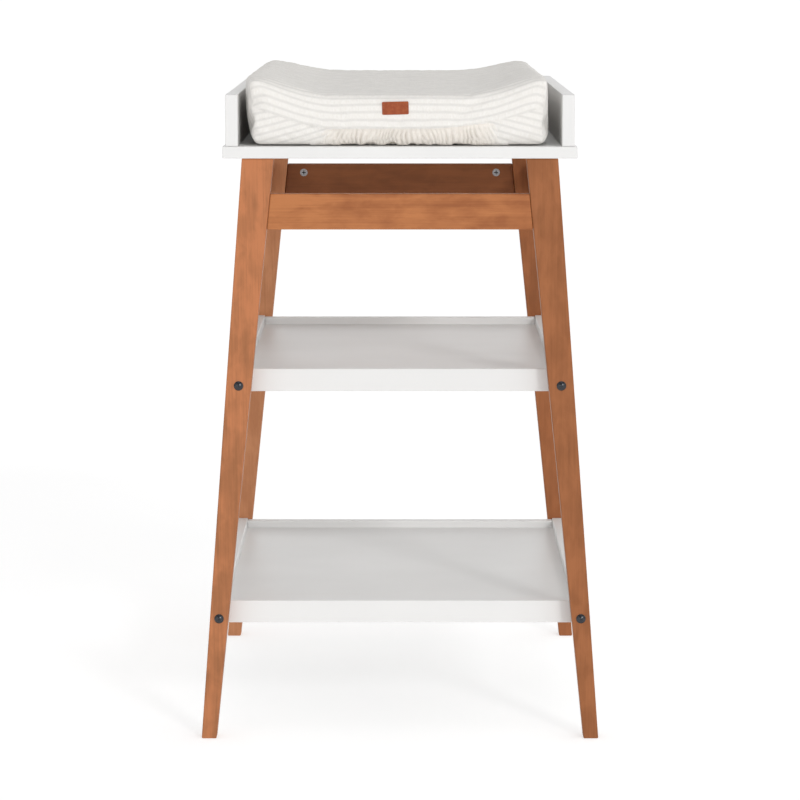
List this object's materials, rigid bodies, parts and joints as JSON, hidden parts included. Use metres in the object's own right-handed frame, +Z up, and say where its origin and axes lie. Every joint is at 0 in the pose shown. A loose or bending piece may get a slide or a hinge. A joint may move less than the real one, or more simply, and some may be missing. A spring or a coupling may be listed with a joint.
{
  "type": "changing table",
  "caption": "Changing table: open-fronted tray with a loose contoured pad on a splayed wooden frame with low-lipped open shelves.",
  "frame": {"origin": "centre of the footprint, on the floor", "axes": "+Z up, +X to the right and -Y towards a person standing at the open front"},
  "size_m": [0.6158, 0.762, 1.0228],
  "materials": {
    "stained_wood": "warm brown stain under satin lacquer, straight fine grain",
    "white_lacquer": "satin white lacquer on board",
    "zinc": "zinc plated",
    "dark_steel": "blackened, semi-gloss",
    "dowel_wood": "bare beech",
    "pad_foam": "open-cell foam",
    "quilted_cotton": "crinkled off-white cotton with thin pale grey stripes",
    "elastic": "woven elastic",
    "label_leather": "smooth brown leather, matt, unprinted"
  },
  "bodies": {
    "table": {"leg_front_left": "stained_wood", "leg_front_right": "stained_wood", "leg_rear_left": "stained_wood", "leg_rear_right": "stained_wood", "front_rail": "stained_wood", "rear_rail": "stained_wood", "side_rail_left": "stained_wood", "side_rail_right": "stained_wood", "front_rail_cams": "zinc", "rear_rail_cams": "zinc", "side_rail_cams": "zinc", "cross_cam_bolts": "zinc", "side_cam_bolts": "zinc", "rail_dowels": "dowel_wood", "leg_top_inserts": "zinc", "tray_bolts": "zinc", "tray_board": "white_lacquer", "tray_left_side": "white_lacquer", "tray_right_side": "white_lacquer", "tray_back": "white_lacquer", "tray_screws": "zinc", "tray_corner_dowels": "dowel_wood", "upper_shelf_panel": "white_lacquer", "upper_shelf_front_lip": "white_lacquer", "upper_shelf_rear_lip": "white_lacquer", "upper_shelf_left_side": "white_lacquer", "upper_shelf_right_side": "white_lacquer", "lower_shelf_panel": "white_lacquer", "lower_shelf_front_lip": "white_lacquer", "lower_shelf_rear_lip": "white_lacquer", "lower_shelf_left_side": "white_lacquer", "lower_shelf_right_side": "white_lacquer", "shelf_dowels": "dowel_wood", "front_shelf_bolts": "dark_steel", "rear_shelf_bolts": "dark_steel", "barrel_nuts": "zinc"},
    "pad": {"pad_core": "pad_foam", "pad_cover": "quilted_cotton", "pad_elastic": "elastic", "pad_label": "label_leather"}
  },
  "joints": [
    {"name": "pad_lift", "type": "slide", "parent": "table", "child": "pad", "axis": [0, 0, 1], "range_m": [0, 0.25]}
  ]
}
